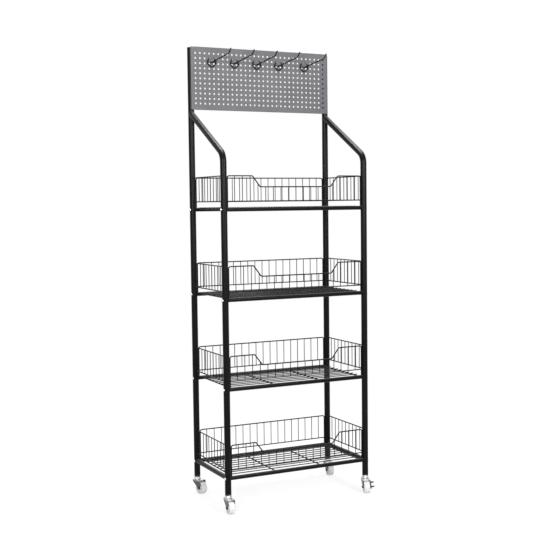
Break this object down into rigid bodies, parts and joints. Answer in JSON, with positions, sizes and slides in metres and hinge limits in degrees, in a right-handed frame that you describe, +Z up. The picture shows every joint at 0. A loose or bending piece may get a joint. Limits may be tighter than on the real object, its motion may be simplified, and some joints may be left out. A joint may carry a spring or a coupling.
{
  "type": "display rack",
  "caption": "Black wire display rack with basket shelves between tube posts, a grey perforated header with hooks, and swivel casters.",
  "frame": {"origin": "on the floor under the wheels, midway between the four post axes", "axes": "+Z up, +X to the right and -Y to the front when facing the rack"},
  "size_m": [0.6551, 0.3829, 1.8111],
  "materials": {
    "black_coat": "satin black powder coat",
    "grey_paint": "satin grey paint",
    "black_plastic": "matt black plastic",
    "zinc_plate": "bright zinc plate",
    "white_nylon": "off-white nylon",
    "dark_fittings": "dark plated steel"
  },
  "bodies": {
    "rack_frame": {"left_front_post": "black_coat", "left_back_post": "black_coat", "left_base_rail": "black_coat", "left_post_cap": "black_plastic", "right_front_post": "black_coat", "right_back_post": "black_coat", "right_base_rail": "black_coat", "right_post_cap": "black_plastic", "front_left_post_insert": "black_plastic", "front_left_stem": "zinc_plate", "front_right_post_insert": "black_plastic", "front_right_stem": "zinc_plate", "back_left_post_insert": "black_plastic", "back_left_stem": "zinc_plate", "back_right_post_insert": "black_plastic", "back_right_stem": "zinc_plate", "shelf_1": "black_coat", "front_guard_1": "black_coat", "back_guard_1": "black_coat", "left_guard_1": "black_coat", "right_guard_1": "black_coat", "shelf_2": "black_coat", "front_guard_2": "black_coat", "back_guard_2": "black_coat", "left_guard_2": "black_coat", "right_guard_2": "black_coat", "shelf_3": "black_coat", "front_guard_3": "black_coat", "back_guard_3": "black_coat", "left_guard_3": "black_coat", "right_guard_3": "black_coat", "shelf_4": "black_coat", "front_guard_4": "black_coat", "back_guard_4": "black_coat", "left_guard_4": "black_coat", "right_guard_4": "black_coat", "pegboard": "grey_paint"},
    "front_left_caster": {"front_left_fork": "zinc_plate", "front_left_axle": "dark_fittings"},
    "front_left_roller": {"front_left_wheel": "white_nylon"},
    "front_right_caster": {"front_right_fork": "zinc_plate", "front_right_axle": "dark_fittings"},
    "front_right_roller": {"front_right_wheel": "white_nylon"},
    "front_right_brake": {"front_right_brake_lever": "dark_fittings"},
    "back_left_caster": {"back_left_fork": "zinc_plate", "back_left_axle": "dark_fittings"},
    "back_left_roller": {"back_left_wheel": "white_nylon"},
    "back_right_caster": {"back_right_fork": "zinc_plate", "back_right_axle": "dark_fittings"},
    "back_right_roller": {"back_right_wheel": "white_nylon"},
    "hook_1": {"hook_1": "black_coat"},
    "hook_2": {"hook_2": "black_coat"},
    "hook_3": {"hook_3": "black_coat"},
    "hook_4": {"hook_4": "black_coat"},
    "hook_5": {"hook_5": "black_coat"}
  },
  "joints": [
    {"name": "front_left_swivel", "type": "hinge", "parent": "rack_frame", "child": "front_left_caster", "pos_m": [-0.306, -0.158, 0.06], "axis": [0, 0, 1], "continuous": true},
    {"name": "front_left_roll", "type": "hinge", "parent": "front_left_caster", "child": "front_left_roller", "pos_m": [-0.30767, -0.18194, 0.025], "axis": [0.9976, -0.0698, 0], "continuous": true},
    {"name": "front_right_swivel", "type": "hinge", "parent": "rack_frame", "child": "front_right_caster", "pos_m": [0.306, -0.158, 0.06], "axis": [0, 0, 1], "continuous": true},
    {"name": "front_right_roll", "type": "hinge", "parent": "front_right_caster", "child": "front_right_roller", "pos_m": [0.29779, -0.18055, 0.025], "axis": [0.9397, -0.342, 0], "continuous": true},
    {"name": "front_right_brake_press", "type": "hinge", "parent": "front_right_caster", "child": "front_right_brake", "pos_m": [0.29779, -0.18055, 0.025], "axis": [0.9397, -0.342, 0], "range_deg": [0, 12]},
    {"name": "back_left_swivel", "type": "hinge", "parent": "rack_frame", "child": "back_left_caster", "pos_m": [-0.306, 0.158, 0.06], "axis": [0, 0, 1], "continuous": true},
    {"name": "back_left_roll", "type": "hinge", "parent": "back_left_caster", "child": "back_left_roller", "pos_m": [-0.29819, 0.13531, 0.025], "axis": [0.9455, 0.3256, 0], "continuous": true},
    {"name": "back_right_swivel", "type": "hinge", "parent": "rack_frame", "child": "back_right_caster", "pos_m": [0.306, 0.158, 0.06], "axis": [0, 0, 1], "continuous": true},
    {"name": "back_right_roll", "type": "hinge", "parent": "back_right_caster", "child": "back_right_roller", "pos_m": [0.30266, 0.13423, 0.025], "axis": [0.9903, -0.1392, 0], "continuous": true},
    {"name": "hook_1_lift", "type": "hinge", "parent": "rack_frame", "child": "hook_1", "pos_m": [-0.22, 0.1446, 1.76606], "axis": [-1, 0, 0], "range_deg": [0, 25]},
    {"name": "hook_2_lift", "type": "hinge", "parent": "rack_frame", "child": "hook_2", "pos_m": [-0.12, 0.1446, 1.76606], "axis": [-1, 0, 0], "range_deg": [0, 25]},
    {"name": "hook_3_lift", "type": "hinge", "parent": "rack_frame", "child": "hook_3", "pos_m": [-0.02, 0.1446, 1.76606], "axis": [-1, 0, 0], "range_deg": [0, 25]},
    {"name": "hook_4_lift", "type": "hinge", "parent": "rack_frame", "child": "hook_4", "pos_m": [0.08, 0.1446, 1.76606], "axis": [-1, 0, 0], "range_deg": [0, 25]},
    {"name": "hook_5_lift", "type": "hinge", "parent": "rack_frame", "child": "hook_5", "pos_m": [0.2, 0.1446, 1.76606], "axis": [-1, 0, 0], "range_deg": [0, 25]}
  ]
}
